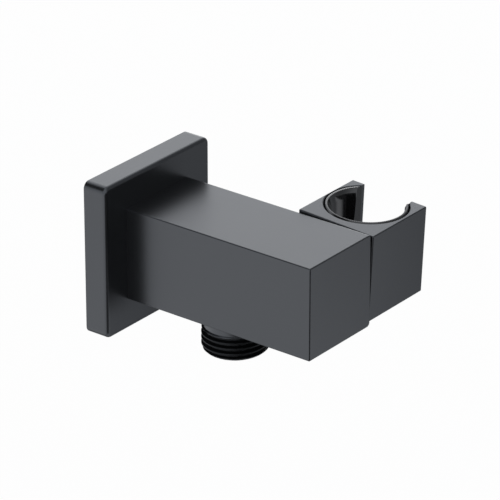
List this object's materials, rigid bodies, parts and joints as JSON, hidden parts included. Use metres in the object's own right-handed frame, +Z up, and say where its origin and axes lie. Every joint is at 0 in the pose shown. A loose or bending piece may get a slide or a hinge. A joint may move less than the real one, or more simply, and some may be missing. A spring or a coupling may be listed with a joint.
{
  "type": "hand shower holder",
  "caption": "Square wall outlet for a hand shower: wall plate, square arm with a threaded hose outlet below, and an open-sided holder that swivels on the arm's side.",
  "frame": {"origin": "middle of the wall plate's back face, on the axis of the inlet thread", "axes": "+Y into the wall along the inlet thread, -Y out along the arm, +X to the holder's side, +Z up"},
  "size_m": [0.0683, 0.0883, 0.0536],
  "materials": {
    "black_coating": "satin black coating on brass",
    "raw_brass": "turned",
    "liner_plastic": "moulded",
    "gasket_foam": "closed-cell foam",
    "seal_rubber": "smooth",
    "bare_steel": "turned stainless",
    "bush_plastic": "natural acetal"
  },
  "bodies": {
    "arm": {"wall_plate": "black_coating", "arm_body": "black_coating", "outlet_nipple": "black_coating", "arm_grub_screw": "black_coating", "wall_nipple": "raw_brass", "wall_gasket": "gasket_foam", "plate_o_ring": "seal_rubber", "outlet_o_ring": "seal_rubber", "sleeve_o_ring_1": "seal_rubber", "sleeve_o_ring_2": "seal_rubber", "pivot_screw": "bare_steel", "disc_spring": "bare_steel", "pivot_washer": "bare_steel", "friction_bush": "bush_plastic"},
    "holder": {"holder_block": "black_coating", "holder_liner": "liner_plastic"}
  },
  "joints": [
    {"name": "holder_swivel", "type": "hinge", "parent": "arm", "child": "holder", "pos_m": [0.01535, -0.06375, 0.0008], "axis": [1, 0, 0], "continuous": true}
  ]
}
